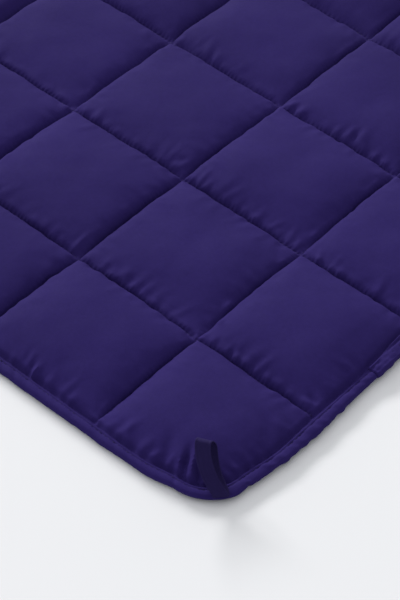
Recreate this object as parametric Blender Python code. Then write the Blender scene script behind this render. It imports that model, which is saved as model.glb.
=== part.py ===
"""A weighted blanket lying flat: one filled body quilted into squares, a folded binding sewn
round its edge with a lapped end, and a standing tape loop at each corner.

Metres, +Z up. X runs across the blanket, Y along it. The origin is on the underside, in the middle.
"""

import math

import bmesh
import bpy
from mathutils import Vector
from mathutils.geometry import delaunay_2d_cdt

# Overall size: square pockets, sewn in straight lines.
SQUARE = 0.101
SQUARES_X = 12
SQUARES_Y = 18
EDGE_REACH = 0.001  # from the outermost pocket's nominal edge to the binding's outer edge
HALF_X = SQUARES_X * SQUARE / 2 + EDGE_REACH
HALF_Y = SQUARES_Y * SQUARE / 2 + EDGE_REACH

# Outline seen from above.
CORNER_RADIUS = 0.032
CORNER_PULL = 0.0042  # how far the sides are drawn in just before a corner
PULL_FROM = 0.034
PULL_TO = 0.068
CORNER_STEPS = 6
SIDE_MARKS = (0.046, 0.056, 0.068)  # extra points along a side, between a corner and the first seam
EDGE_WAVE = 0.0010  # how far the edge swells between two seams, at most
EDGE_WAVE_LEAST = 0.2  # the smallest swell, as a share of EDGE_WAVE
EDGE_WAVE_TURN = 4.7  # how fast the swell changes from pocket to pocket, in radians

# Filled body. Heights are above the surface that the blanket lies on.
SEAM_TOP = 0.0032
SEAM_UNDER = 0.0010
CROWN = 0.0100  # a pillow's rise above its seams
CROWN_SPREAD = 0.12  # how much the pillows differ, as a share of CROWN
CROWN_TURNS = (1.9, 2.7, 0.8)  # how fast they differ by column, by row and by both, in radians
CROWN_FLAT = 2.2  # over 2: the pillow is broad and nearly flat in its middle
CROWN_STEEP = 0.82  # under 1: it rises steeply beside a seam
TONGUE_INSET = 0.0022  # the flattened edge inside the binding, which is lifted off the surface
TONGUE_END = 0.0080
TONGUE_TOP = 0.0046
TONGUE_UNDER = 0.0036
LIFT_END = 0.0125  # where the underside comes down beside the binding
NEAR_SEAM = 0.12  # place of the pillow's shoulder, as a share of its width
TOP_MARKS = (0.0, NEAR_SEAM, 0.5, 1 - NEAR_SEAM)
UNDER_MARKS = (NEAR_SEAM, 1 - NEAR_SEAM)
CLEAR_OF_RIM = 0.0070  # no pillow point lies nearer to the rim's last ring
CORNER_SHOULDER = 0.0200  # the pillow's shoulder in a rounded corner, from the outer edge
MERGE = 1e-7

# Binding section, from its upper inner edge round the outside to its lower inner edge and back.
# Columns: inward from the outer edge, height, share of the edge's swell, share of the lap outwards,
# share of the lap upwards.
BINDING_SECTION = (
    (0.0073, 0.0056, 0.0, 0.0, 1.0),
    (0.0045, 0.0059, 0.4, 0.3, 1.0),
    (0.0015, 0.0056, 0.8, 0.8, 1.0),
    (0.0003, 0.0048, 1.0, 1.0, 0.6),
    (0.0003, 0.0034, 1.0, 1.0, 0.0),
    (0.0015, 0.0025, 0.8, 0.8, 0.0),
    (0.0073, 0.0023, 0.0, 0.0, 0.0),
    (0.0073, 0.0033, 0.0, 0.0, 0.0),
    (0.0019, 0.0033, 0.0, 0.0, 0.0),
    (0.0019, 0.0049, 0.0, 0.0, 0.0),
    (0.0073, 0.0049, 0.0, 0.0, 0.0),
)
LAP_START = 1.52 * SQUARE  # along the front side, from the front left corner
LAP_STEP = 0.0003
LAP_FULL = 0.038
LAP_FADE = 0.018
LAP_OUT = 0.0008
LAP_UP = 0.0008

# Corner loop: a closed band of tape, by its middle line. Columns: inward from the foot, sideways, height.
LOOP_LINE = (
    (0.0016, 0.0000, 0.0070),
    (0.0034, -0.0032, 0.0101),
    (0.0076, -0.0068, 0.0148),
    (0.0122, -0.0096, 0.0202),
    (0.0164, -0.0112, 0.0254),
    (0.0198, -0.0115, 0.0292),
    (0.0222, -0.0113, 0.0295),
    (0.0244, -0.0106, 0.0272),
    (0.0250, -0.0090, 0.0226),
    (0.0228, -0.0062, 0.0164),
    (0.0168, -0.0028, 0.0106),
    (0.0092, 0.0004, 0.0078),
    (0.0050, 0.0008, 0.0070),
)
LOOP_FOOT = (0.0171, 0.0099)  # from the unrounded corner, along X and along Y
LOOP_YAW = math.radians(-50)  # direction of the tape's width
TAPE_WIDTH = 0.0100
TAPE_THICK = 0.0010
LINE_STEPS = 2

CORNERS = (
    ("front_left", 1, 1),
    ("front_right", -1, 1),
    ("back_left", 1, -1),
    ("back_right", -1, -1),
)

SHARP_FOLD = math.radians(30)  # a sewn line shows as a crease, a pillow's crown doesn't

# Linear colours of the dyed cloth.
BODY_COLOUR = (0.030, 0.020, 0.125, 1.0)
BINDING_COLOUR = (0.027, 0.018, 0.115, 1.0)
TAPE_COLOUR = (0.023, 0.016, 0.095, 1.0)
CLOTH_ROUGHNESS = 0.85
TAPE_ROUGHNESS = 0.80


def eased(value):
    """0 below 0, 1 above 1, and a smooth rise between."""
    held = min(max(value, 0.0), 1.0)
    return held * held * (3 - 2 * held)


def side_inset(gap):
    """How far a side is drawn in, at this distance from the nearer corner."""
    return CORNER_PULL * (1 - eased((gap - PULL_FROM) / (PULL_TO - PULL_FROM)))


def side_marks(half, extra):
    """Places along a side, as distances from the corner where it starts."""
    length = 2 * half
    marks = set(SIDE_MARKS) | {length - mark for mark in SIDE_MARKS} | set(extra)
    seams = round((length - 2 * EDGE_REACH) / SQUARE)
    marks |= {EDGE_REACH + step * SQUARE / 2 for step in range(2, 2 * seams - 1)}
    return sorted(marks)


def edge_swell(mark):
    """The edge swells between seams by an uneven share of EDGE_WAVE, and is drawn in at each seam."""
    place = (mark - EDGE_REACH) / SQUARE
    share = (1 + math.sin(EDGE_WAVE_TURN * math.floor(place))) / 2
    uneven = EDGE_WAVE_LEAST + (1 - EDGE_WAVE_LEAST) * share
    return EDGE_WAVE * uneven * math.sin(math.pi * (place % 1)) ** 2


def lap_share(mark):
    """1 where the binding's end lies over its start, fading where the start runs out beneath."""
    past = mark - LAP_START
    return (1 - eased((past - LAP_FULL) / LAP_FADE)) if past > 0 else 0.0


def rim_stations(front_extra=()):
    """The outer edge, counterclockwise from the front left corner.

    Each station has a place on the outline, its outward direction, the edge's swell and the lap's share.
    """
    sides = (
        (HALF_X, HALF_Y, Vector((1, 0)), front_extra),
        (HALF_Y, HALF_X, Vector((0, 1)), ()),
        (HALF_X, HALF_Y, Vector((-1, 0)), ()),
        (HALF_Y, HALF_X, Vector((0, -1)), ()),
    )
    stations = []
    for half, reach, along, extra in sides:
        outward = Vector((along.y, -along.x))
        middle = -(half - CORNER_PULL - CORNER_RADIUS) * along
        middle += (reach - CORNER_PULL - CORNER_RADIUS) * outward
        for step in range(CORNER_STEPS + 1):
            angle = math.pi / 2 * step / CORNER_STEPS
            normal = math.sin(angle) * outward - math.cos(angle) * along
            stations.append((middle + CORNER_RADIUS * normal, normal, 0.0, 0.0))
        for mark in side_marks(half, extra):
            inset = side_inset(min(mark, 2 * half - mark))
            place = (mark - half) * along + (reach - inset) * outward
            lap = lap_share(mark) if extra else 0.0
            stations.append((place, outward, edge_swell(mark), lap))
    return stations


def rim_ring(inset):
    """The outline's points, moved inward by inset."""
    return [place - inset * normal for place, normal, _, _ in rim_stations()]


def rim_distance(place):
    """How far a point lies inside the rounded outline."""
    across = abs(place.x) - (HALF_X - CORNER_PULL - CORNER_RADIUS)
    along = abs(place.y) - (HALF_Y - CORNER_PULL - CORNER_RADIUS)
    if across > 0 and along > 0:
        return CORNER_RADIUS - math.hypot(across, along)
    return min(HALF_X - abs(place.x), HALF_Y - abs(place.y))


def seam_lines(half, squares):
    """The lines that bound the pockets along one axis: the sewn lines, and the edge's two seams."""
    first = -half + TONGUE_END
    inner = [-half + EDGE_REACH + SQUARE * step for step in range(1, squares)]
    return [first] + inner + [-first]


def pocket_share(place, lines):
    """The pocket that a coordinate falls in, and how far across it lies, from 0 to 1."""
    for number in range(len(lines) - 1):
        low, high = lines[number], lines[number + 1]
        if place <= high:
            return number, min(max((place - low) / (high - low), 0.0), 1.0)
    return len(lines) - 2, 1.0


def crown_share(share):
    """The pillow's rise from seam to seam, from 0 to 1 and back."""
    return (1 - abs(1 - 2 * share) ** CROWN_FLAT) ** CROWN_STEEP


def pillow_height(place, lines_x, lines_y):
    """The upper face: a broad crown in each pocket, a little different in each."""
    column, across = pocket_share(place.x, lines_x)
    row, along = pocket_share(place.y, lines_y)
    rise = crown_share(across) * crown_share(along)
    by_column, by_row, by_both = CROWN_TURNS
    turn = by_column * column + by_row * row + by_both * column * row
    return SEAM_TOP + CROWN * (1 + CROWN_SPREAD * math.sin(turn)) * rise


def spread_places(lines_x, lines_y, shares, rim):
    """Places at these shares of every pocket, both ways, that lie clear of the rim's last ring."""
    marks_x, marks_y = (
        [low + share * (high - low) for low, high in zip(lines, lines[1:]) for share in shares]
        for lines in (lines_x, lines_y)
    )
    places = [Vector((x, y)) for x in marks_x for y in marks_y]
    return [place for place in places if rim_distance(place) > rim + CLEAR_OF_RIM]


def corner_shoulders():
    """Places along the pillow's shoulder in the four rounded corners."""
    radius = CORNER_RADIUS - CORNER_SHOULDER
    middle = Vector((HALF_X - CORNER_PULL - CORNER_RADIUS, HALF_Y - CORNER_PULL - CORNER_RADIUS))
    places = []
    for step in range(1, CORNER_STEPS):
        angle = math.pi / 2 * step / CORNER_STEPS
        spot = middle + radius * Vector((math.cos(angle), math.sin(angle)))
        places += [Vector((side_x * spot.x, side_y * spot.y)) for _, side_x, side_y in CORNERS]
    return places


def new_material(name, colour, roughness):
    material = bpy.data.materials.new(name)
    material.use_nodes = True
    shader = material.node_tree.nodes["Principled BSDF"]
    shader.inputs["Base Color"].default_value = colour
    shader.inputs["Roughness"].default_value = roughness
    shader.inputs["Metallic"].default_value = 0.0
    return material


def add_object(bm, name, material, collection):
    """Makes an object of the mesh, with its faces turned outward and shaded smooth up to a fold."""
    bmesh.ops.recalc_face_normals(bm, faces=bm.faces)
    mesh = bpy.data.meshes.new(name)
    bm.to_mesh(mesh)
    bm.free()
    mesh.shade_smooth()
    mesh.set_sharp_from_angle(angle=SHARP_FOLD)
    mesh.materials.append(material)
    piece = bpy.data.objects.new(name, mesh)
    collection.objects.link(piece)
    return piece


def add_face_sheet(bm, rings, spots, seams):
    """Triangulates one face of the body inside its outer ring and returns that ring's vertices.

    rings and spots hold (x, y, height) and are numbered in that order. seams holds the pairs of numbers
    that a sewn line joins. Neighbouring points of a ring are joined too.
    """
    places = [point for ring in rings for point in ring] + spots
    edges = list(seams)
    start = 0
    for ring in rings:
        count = len(ring)
        edges += [(start + step, start + (step + 1) % count) for step in range(count)]
        start += count
    outer = list(range(len(rings[0])))
    flat = [Vector(place[:2]) for place in places]
    kept, _, faces, sources, _, _ = delaunay_2d_cdt(flat, edges, [outer], 1, MERGE)
    height = [places[source[0]][2] for source in sources]
    verts = [bm.verts.new((*spot, top)) for spot, top in zip(kept, height)]
    for face in faces:
        bm.faces.new([verts[corner] for corner in face])
    found = {source[0]: verts[number] for number, source in enumerate(sources)}
    return [found[number] for number in outer]


def lifted(ring, height):
    return [(*point, height) for point in ring]


def nearest(ring, place):
    return min(range(len(ring)), key=lambda number: (ring[number] - place).length)


def sewn_lines(rings, spots):
    """The pairs of point numbers along every sewn line inside the blanket, from rim to rim."""
    before_ring = sum(len(ring) for ring in rings[:-1])
    before_spots = before_ring + len(rings[-1])
    ring = [Vector(point[:2]) for point in rings[-1]]
    pairs = []
    for axis, lines, reach in (
        (0, seam_lines(HALF_X, SQUARES_X)[1:-1], Vector((0, HALF_Y))),
        (1, seam_lines(HALF_Y, SQUARES_Y)[1:-1], Vector((HALF_X, 0))),
    ):
        for line in lines:
            middle = Vector((line, 0)) if axis == 0 else Vector((0, line))
            order = sorted(
                (spot[1 - axis], before_spots + number)
                for number, spot in enumerate(spots)
                if spot[axis] == line
            )
            numbers = [before_ring + nearest(ring, middle - reach)]
            numbers += [number for _, number in order]
            numbers.append(before_ring + nearest(ring, middle + reach))
            pairs += zip(numbers, numbers[1:])
    return pairs


def upper_face(bm):
    """The quilted upper face, with the flat tongue round it."""
    lines_x = seam_lines(HALF_X, SQUARES_X)
    lines_y = seam_lines(HALF_Y, SQUARES_Y)
    rings = [lifted(rim_ring(inset), TONGUE_TOP) for inset in (TONGUE_INSET, TONGUE_END)]
    places = spread_places(lines_x, lines_y, TOP_MARKS, TONGUE_END) + corner_shoulders()
    spots = [(*place, pillow_height(place, lines_x, lines_y)) for place in places]
    return add_face_sheet(bm, rings, spots, sewn_lines(rings, spots))


def under_face(bm):
    """The underside: each pocket lies flat, with a shallow sewn channel between pockets."""
    lines_x = seam_lines(HALF_X, SQUARES_X)
    lines_y = seam_lines(HALF_Y, SQUARES_Y)
    rings = [lifted(rim_ring(inset), TONGUE_UNDER) for inset in (TONGUE_INSET, TONGUE_END)]
    rings.append(lifted(rim_ring(LIFT_END), 0.0))
    spots = [(x, y, SEAM_UNDER) for x in lines_x[1:-1] for y in lines_y[1:-1]]
    spots += lifted(spread_places(lines_x, lines_y, UNDER_MARKS, LIFT_END), 0.0)
    return add_face_sheet(bm, rings, spots, sewn_lines(rings, spots))


def add_quilted_body(collection):
    bm = bmesh.new()
    upper = upper_face(bm)
    under = under_face(bm)
    count = len(upper)
    for step in range(count):
        after = (step + 1) % count
        bm.faces.new((upper[step], under[step], under[after], upper[after]))
    material = new_material("quilted_cloth", BODY_COLOUR, CLOTH_ROUGHNESS)
    return add_object(bm, "quilted_body", material, collection)


def add_loft(name, sections, material, collection):
    """A closed ring of equal sections, joined each to the next."""
    bm = bmesh.new()
    rows = [[bm.verts.new(point) for point in section] for section in sections]
    for number, row in enumerate(rows):
        after = rows[(number + 1) % len(rows)]
        for corner in range(len(row)):
            beside = (corner + 1) % len(row)
            bm.faces.new((row[corner], row[beside], after[beside], after[corner]))
    return add_object(bm, name, material, collection)


def add_edge_binding(collection):
    """The folded strip round the edge, thicker where its end laps over its start."""
    lap_marks = (
        LAP_START,
        LAP_START + LAP_STEP,
        LAP_START + LAP_FULL,
        LAP_START + LAP_FULL + LAP_FADE,
    )
    sections = []
    for place, normal, swell, lap in rim_stations(lap_marks):
        section = []
        for inward, height, swell_share, out_share, up_share in BINDING_SECTION:
            outward = swell * swell_share + LAP_OUT * lap * out_share - inward
            spot = place + outward * normal
            section.append((*spot, height + LAP_UP * lap * up_share))
        sections.append(section)
    material = new_material("binding_cloth", BINDING_COLOUR, CLOTH_ROUGHNESS)
    return add_loft("edge_binding", sections, material, collection)


def smooth_line(rows, steps):
    """Points on a closed Catmull-Rom curve through the rows."""
    points = [Vector(row) for row in rows]
    count = len(points)
    line = []
    for number in range(count):
        before, start, end, after = (points[(number + shift) % count] for shift in (-1, 0, 1, 2))
        for step in range(steps):
            t = step / steps
            bend = (2 * before - 5 * start + 4 * end - after) * t * t
            twist = (3 * start - before - 3 * end + after) * t**3
            line.append(0.5 * (2 * start + (end - before) * t + bend + twist))
    return line


def add_corner_loop(name, side_x, side_y, collection):
    """A band of tape that stands up from the corner and leans over the blanket.

    side_x and side_y are 1 or -1: the corner is the front left one, mirrored where they are -1.
    """
    width = Vector((math.cos(LOOP_YAW), math.sin(LOOP_YAW), 0))
    inward = Vector((-width.y, width.x, 0))
    foot = Vector((LOOP_FOOT[0] - HALF_X, LOOP_FOOT[1] - HALF_Y, 0))
    line = smooth_line(LOOP_LINE, LINE_STEPS)
    sections = []
    for number, point in enumerate(line):
        ahead = line[(number + 1) % len(line)] - line[number - 1]
        face = Vector((-ahead.z, ahead.x)).normalized() * TAPE_THICK / 2
        section = []
        for across, out in ((-1, -1), (1, -1), (1, 1), (-1, 1)):
            spot = foot + (point.x + out * face.x) * inward
            spot += (point.y + across * TAPE_WIDTH / 2) * width
            spot.z = point.z + out * face.y
            section.append((side_x * spot.x, side_y * spot.y, spot.z))
        sections.append(section)
    material = new_material(name + "_tape", TAPE_COLOUR, TAPE_ROUGHNESS)
    return add_loft(name, sections, material, collection)


def main():
    for item in list(bpy.data.objects):
        bpy.data.objects.remove(item)
    collection = bpy.data.collections.new("weighted_blanket")
    bpy.context.scene.collection.children.link(collection)
    add_quilted_body(collection)
    add_edge_binding(collection)
    for corner, side_x, side_y in CORNERS:
        add_corner_loop("corner_loop_" + corner, side_x, side_y, collection)


main()
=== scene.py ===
"""The looks of a weighted blanket lying flat: quilted microfibre with a sewn binding and tape loops.

Metres, +Z up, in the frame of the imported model. X runs across the blanket, Y along it.
"""

import math

import bpy
import numpy as np
from mathutils import Matrix, Vector


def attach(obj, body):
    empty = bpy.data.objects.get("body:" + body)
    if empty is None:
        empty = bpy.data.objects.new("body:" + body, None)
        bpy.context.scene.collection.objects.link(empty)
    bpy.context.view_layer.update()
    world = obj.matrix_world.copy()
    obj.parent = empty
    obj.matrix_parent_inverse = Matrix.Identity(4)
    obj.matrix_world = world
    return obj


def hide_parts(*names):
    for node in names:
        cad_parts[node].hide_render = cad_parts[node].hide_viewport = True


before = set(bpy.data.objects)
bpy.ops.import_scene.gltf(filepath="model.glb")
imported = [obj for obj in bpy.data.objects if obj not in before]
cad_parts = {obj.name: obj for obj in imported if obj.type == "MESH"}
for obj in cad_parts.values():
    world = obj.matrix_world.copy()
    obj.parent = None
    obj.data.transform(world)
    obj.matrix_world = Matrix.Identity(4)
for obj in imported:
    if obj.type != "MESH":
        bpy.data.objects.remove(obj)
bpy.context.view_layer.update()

# Overall size, as in the solids.
SQUARE = 0.101
SQUARES_X = 12
SQUARES_Y = 18
EDGE_REACH = 0.001
HALF_X = SQUARES_X * SQUARE / 2 + EDGE_REACH
HALF_Y = SQUARES_Y * SQUARE / 2 + EDGE_REACH
CORNERS = (
    ("front_left", 1, 1),
    ("front_right", -1, 1),
    ("back_left", 1, -1),
    ("back_right", -1, -1),
)

# Outline seen from above.
CORNER_RADIUS = 0.032
CORNER_PULL = 0.0042
PULL_FROM = 0.034
PULL_TO = 0.068
PULL_DEPTH = 0.060  # how far inside the edge the pull is felt
EDGE_WAVE = 0.0010
EDGE_WAVE_LEAST = 0.2
EDGE_WAVE_TURN = 4.7

# Quilted body.
SEAM_TOP = 0.0032
SEAM_UNDER = 0.0010
SEAM_SINK = 0.0010  # the thread pulls a narrow groove into the upper face
SEAM_GROOVE = 0.0030
CROWN = 0.0083
CROWN_SPREAD = 0.12
CROWN_TURNS = (1.9, 2.7, 0.8)
CROWN_FLAT = 3.0
# How the crown climbs from a seam: the greater, the gentler. First from the seam nearer to the front left
# corner, then from the further one.
CROWN_CLIMB_X = (0.74, 0.60)
CROWN_CLIMB_Y = (0.60, 0.49)
CROWN_CLIMB_EDGE = 1.15  # from the seam beside the binding
CROWN_EDGE = 0.0108  # the pockets along the edge are fuller
TONGUE_INSET = 0.0022
TONGUE_END = 0.0080
TONGUE_TOP = 0.0046
TONGUE_UNDER = 0.0036
TONGUE_HIDDEN_TOP = 0.0040  # where it lies inside the binding
EDGE_LIFT_REACH = 0.022  # the seams come down from the lifted edge over this distance
LEFT_DROP = 0.0007  # the left edge lies lower than the others
LEFT_DROP_FROM = 0.070  # distance from a corner where it is fully down
EDGE_SINK = 0.0016  # the binding's seam pulls the body down just inside it
EDGE_SINK_AT = 0.0094  # distance from the edge
EDGE_SINK_REACH = 0.0027
# The lapped binding holds the body flat up to this distance from the edge, at its end and further along.
LAP_PRESS = (0.0086, 0.0108)
LAP_PRESS_FADE = 0.0035
NEAR_STEPS = (70, 70, 50, 32, 12)  # grid steps in the pockets nearest to the front left corner
FINE_POCKETS = 5.6  # gathers are raised this many pockets from that corner
FAR_STEPS = 6
END_STEPS = 12  # in the last pocket, whose rim curves round the far corner
SEAM_CROWDING = 0.35  # how much closer the grid lines lie beside a seam
UNDER_SHARES = (0.0, 0.06, 0.5, 0.94)
SHARP_FOLD = math.radians(42)
SEAM_WANDER = 0.00045  # how far a sewn line strays from straight
SEAM_WANDER_CELL = 0.0065
SEAM_WANDER_SEEDS = (21, 22)

# Random unevenness is read from tables of this length, or of this side.
LINE_TABLE = 4096
FIELD_TABLE = 256

# Softly uneven filling: wavelength, height and random seed of each layer.
UNEVEN_LAYERS = ((0.056, 0.00110, 11), (0.026, 0.00070, 12), (0.012, 0.00022, 13))
UNEVEN_FADE = 2.2  # its full height is reached once the pillow has risen by one part in this many

# Small bulges that crowd beside the sewn lines: wavelength, height and random seed of each layer.
BUMP_LAYERS = ((0.0095, 0.00060, 31), (0.0050, 0.00045, 32))
BUMP_REACH = 0.0022  # distance from the line where they are tallest
BUMP_SHIFT = (0.37, 0.53)  # moves the random field from pocket to pocket, so that no two are alike

# Short puckers that run out from the sewn lines in small fans.
PUCKER_FANS = 5
PUCKERS_A_FAN = 3
PUCKER_FIRST = 0.05  # a fan's middle lies from here on, as a share of the pocket's side
PUCKER_SPAN = 0.90
PUCKER_SPACING = 0.0072
PUCKER_SCATTER = 0.6  # how far a pucker may be out of its place, as a share of the spacing
PUCKER_SEED = 41
PUCKER_LENGTH = (0.007, 0.026)
PUCKER_WIDTH = (0.0014, 0.0026)
PUCKER_RISE = (0.00060, 0.00260)
PUCKER_TILT = 0.35
PUCKER_PEAK = 0.5  # under 1: the pucker is highest near its seam
# A ridge has a shallow dip on both sides, tapers to its ends, and is cut off this many half widths aside.
RIDGE_DIP = 0.4
RIDGE_TAPER = 1.5
RIDGE_REACH = 3.2
# How strong the puckers are beside a line across X or Y, before it and after it.
PUCKER_STRENGTH = ((0.45, 0.98), (0.45, 0.35))
EDGE_PUCKERS = 0.9

# Single folds that show in the pockets of the front left corner, measured from the unrounded corner.
# Columns: start along X and along Y, end along X and along Y, half width, rise.
FOLDS = (
    (0.3040, 0.1370, 0.3225, 0.1415, 0.0015, 0.0011),
    (0.3040, 0.1412, 0.3200, 0.1455, 0.0016, -0.0009),
    (0.3050, 0.1450, 0.3200, 0.1500, 0.0019, 0.0008),
    (0.2190, 0.2070, 0.2090, 0.2200, 0.0020, -0.0010),
    (0.2040, 0.2040, 0.2110, 0.2110, 0.0030, 0.0012),
    (0.1048, 0.0116, 0.1075, 0.0247, 0.0018, 0.0010),
    (0.1095, 0.0080, 0.1158, 0.0179, 0.0018, 0.0010),
    (0.1075, 0.0100, 0.1120, 0.0230, 0.0016, -0.0009),
    (0.0815, 0.0297, 0.0626, 0.0108, 0.0030, -0.0011),
    (0.0880, 0.0260, 0.0700, 0.0090, 0.0026, 0.0008),
    (0.0310, 0.0450, 0.0050, 0.0320, 0.0018, -0.0030),
    (0.0330, 0.0430, 0.0060, 0.0270, 0.0015, 0.0020),
    (0.0230, 0.0330, 0.0080, 0.0190, 0.0014, -0.0022),
    (0.0230, 0.0460, 0.0060, 0.0370, 0.0013, 0.0014),
    (0.0340, 0.0620, 0.0060, 0.0460, 0.0028, -0.0018),
)

# Stitching.
STITCH_PITCH = 0.0036
STITCH_LENGTH = 0.0026
STITCH_SHOULDER = 0.28  # where its full thickness begins, from its middle, as a share of its length
STITCH_SIDES = 3
THREAD = 0.00024
QUILTING_LIFT = 0.2  # how far the thread lies above its seam, as a share of THREAD
TOPSTITCH_LIFT = 0.9

# Seen from the photo's place: distances from the first stitch crossing beside the front left corner.
CAMERA_OFFSET = Vector((-0.6537, -0.5262, 0.9314))
CAMERA_AZIMUTH = math.radians(38.81)
CAMERA_DOWN = math.radians(46.88)
CAMERA_ROLL = math.radians(3.24)
CAMERA_LENS = 121.69
CAMERA_SENSOR = 36
CAMERA_FAR = 200

# Light: a window that is wide but low, and a bright room.
WINDOW_AZIMUTH = math.radians(68)
WINDOW_ELEVATION = math.radians(22.5)
WINDOW_DISTANCE = 20.0
WINDOW_WIDTH = 13.0
WINDOW_HEIGHT = 3.0
WINDOW_POWER = 4000.0
WINDOW_COLOUR = (0.995, 0.985, 0.965)
SKY_COLOUR = (0.975, 0.985, 0.990)
SKY_STRENGTH = 0.78
SKY_LEAN = 0.45  # how much brighter the room is on the window's side
FLOOR_SIZE = 60.0
FLOOR_COLOUR = (0.800, 0.806, 0.832, 1.0)
FLOOR_CLOUDS = 1.3  # faint clouds in its colour, a metre
FLOOR_DARKER = 0.992
FLOOR_ROUGHNESS = 0.75
FLOOR_SPECULAR = 0.15

# Linear colours of the dyed cloth.
CLOTH_DEEP = (0.0196, 0.0117, 0.0885, 1.0)
CLOTH_PALE = (0.0239, 0.0143, 0.1075, 1.0)
TAPE_DEEP = (0.0144, 0.0098, 0.0540, 1.0)
TAPE_PALE = (0.0188, 0.0128, 0.0690, 1.0)
THREAD_DEEP = (0.0190, 0.0120, 0.0780, 1.0)
THREAD_PALE = (0.0250, 0.0160, 0.1020, 1.0)
SHEEN_TINT = (0.40, 0.32, 1.0, 1.0)

# Finish of the cloth. Scales are in noise cells a metre.
CLOTH_DETAIL = 3.0
WORN_SCALE = 11.0  # broad worn tone
WORN_SHARE = 0.55
NAP_SCALE = 420.0  # fine mottling of the nap
NAP_SHARE = 0.45
NAP_ROUGHNESS = 0.6
TONE_STOPS = (0.34, 0.66)  # where the tone is all deep colour, and all pale
ROUGH_SCALE = 90.0
ROUGH_LEAST = 0.72
ROUGH_SPREAD = 0.14
WEAVE_FINE = 2600  # across the yarns
WEAVE_LONG = 500  # along them
WEAVE_RISE = 0.00006
SOFT_SCALE = 55.0
SOFT_ROUGHNESS = 0.55
SOFT_RISE = 0.00035
SHEEN_WEIGHT = 0.010
SHEEN_ROUGHNESS = 0.45
CLOTH_SPECULAR = 0.05

# Finish of the thread.
PLY_SCALE = 900
PLY_RISE = 0.00008
THREAD_ROUGHNESS = 0.60
THREAD_SPECULAR = 0.15
PALE_STOPS = (0.3, 0.7)  # where the thread's and the floor's tones are all deep, and all pale

# Fine ripples between the stitches.
SEAM_RIPPLE_REACH = 0.0042
SEAM_RIPPLE_RISE = 0.00018
SEAM_RIPPLE_FADE = 1.5
SEAM_DRIFT_SCALE = 55.0
SEAM_DRIFT = 14.0  # how far the ripples drift from the stitches' pitch, in radians
SEAM_FORCE_SCALE = 38.0
SEAM_FORCE = 1.6


# ---------------------------------------------------------------- small tools


def eased(value):
    """0 below 0, 1 above 1, and a smooth rise between. Takes numbers or arrays."""
    held = np.clip(value, 0.0, 1.0)
    return held * held * (3 - 2 * held)


def between(ends, share):
    return ends[0] + (ends[1] - ends[0]) * share


def lattice(seed, count):
    return np.random.default_rng(seed).uniform(-1, 1, count)


def uneven_line(places, cell, seed):
    """Smooth noise from -1 to 1 along a line."""
    spots = np.asarray(places) / cell
    low = np.floor(spots).astype(int)
    part = eased(spots - low)
    values = lattice(seed, LINE_TABLE)
    return values[low % LINE_TABLE] * (1 - part) + values[(low + 1) % LINE_TABLE] * part


def uneven_field(x, y, cell, seed):
    """Smooth noise from -1 to 1 over a surface."""
    side = FIELD_TABLE
    values = lattice(seed, (side, side))
    across, along = x / cell, y / cell
    column, row = np.floor(across).astype(int), np.floor(along).astype(int)
    right, up = eased(across - column), eased(along - row)
    column, row = column % side, row % side
    after_column, after_row = (column + 1) % side, (row + 1) % side
    low = values[column, row] * (1 - right) + values[after_column, row] * right
    high = values[column, after_row] * (1 - right) + values[after_column, after_row] * right
    return low * (1 - up) + high * up


def new_object(name, points, faces, material):
    mesh = bpy.data.meshes.new(name)
    mesh.from_pydata([tuple(point) for point in points], [], faces)
    mesh.validate()
    mesh.update()
    mesh.shade_smooth()
    mesh.materials.append(material)
    piece = bpy.data.objects.new(name, mesh)
    bpy.context.scene.collection.objects.link(piece)
    return piece


# ---------------------------------------------------------------- materials


class Nodes:
    """A material's nodes, made and linked by short calls."""

    def __init__(self, name):
        self.material = bpy.data.materials.new(name)
        self.material.use_nodes = True
        self.tree = self.material.node_tree
        self.shader = self.tree.nodes["Principled BSDF"]

    def link(self, source, node, socket):
        self.tree.links.new(source, node.inputs[socket])

    def math(self, operation, first, second=None):
        node = self.tree.nodes.new("ShaderNodeMath")
        node.operation = operation
        for number, value in enumerate((first, second)):
            if value is None:
                continue
            if isinstance(value, (int, float)):
                node.inputs[number].default_value = value
            else:
                self.tree.links.new(value, node.inputs[number])
        return node.outputs[0]

    def place(self):
        node = self.tree.nodes.new("ShaderNodeTexCoord")
        return node.outputs["Object"]

    def axes(self, vector):
        node = self.tree.nodes.new("ShaderNodeSeparateXYZ")
        self.link(vector, node, "Vector")
        return node.outputs

    def stretched(self, vector, scale):
        node = self.tree.nodes.new("ShaderNodeMapping")
        node.inputs["Scale"].default_value = scale
        self.link(vector, node, "Vector")
        return node.outputs["Vector"]

    def noise(self, vector, scale, detail=2.0, roughness=0.5):
        node = self.tree.nodes.new("ShaderNodeTexNoise")
        node.inputs["Scale"].default_value = scale
        node.inputs["Detail"].default_value = detail
        node.inputs["Roughness"].default_value = roughness
        self.link(vector, node, "Vector")
        return node.outputs["Fac"]

    def ramp(self, value, stops):
        node = self.tree.nodes.new("ShaderNodeValToRGB")
        for element, (place, colour) in zip(node.color_ramp.elements, stops):
            element.position = place
            element.color = colour
        self.link(value, node, "Fac")
        return node.outputs["Color"]

    def bump(self, height, distance, strength=1.0, below=None):
        node = self.tree.nodes.new("ShaderNodeBump")
        node.inputs["Distance"].default_value = distance
        node.inputs["Strength"].default_value = strength
        self.link(height, node, "Height")
        if below is not None:
            self.link(below, node, "Normal")
        return node.outputs["Normal"]


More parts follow.
